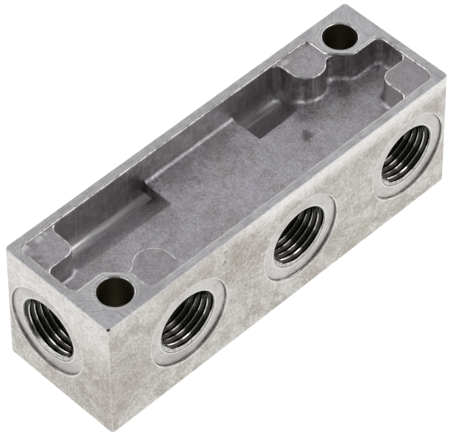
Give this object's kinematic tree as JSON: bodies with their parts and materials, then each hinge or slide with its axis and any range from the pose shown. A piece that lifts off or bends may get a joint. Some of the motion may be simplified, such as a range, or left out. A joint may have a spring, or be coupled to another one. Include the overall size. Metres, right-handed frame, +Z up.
{
  "type": "air manifold block",
  "caption": "Cast aluminium block with a threaded inlet in one end that feeds threaded outlets along its front through a blind gallery.",
  "frame": {"origin": "on the base, under the middle of the block", "axes": "+X along the block from the inlet end to the blind end, -Y out of the outlet face, +Z up out of the open pocket"},
  "size_m": [0.0874, 0.0274, 0.029],
  "materials": {
    "cast_aluminium": "die cast and tumbled, with milled rim and pads and turned spot faces"
  },
  "bodies": {
    "root": {"manifold_block": "cast_aluminium"}
  },
  "joints": []
}
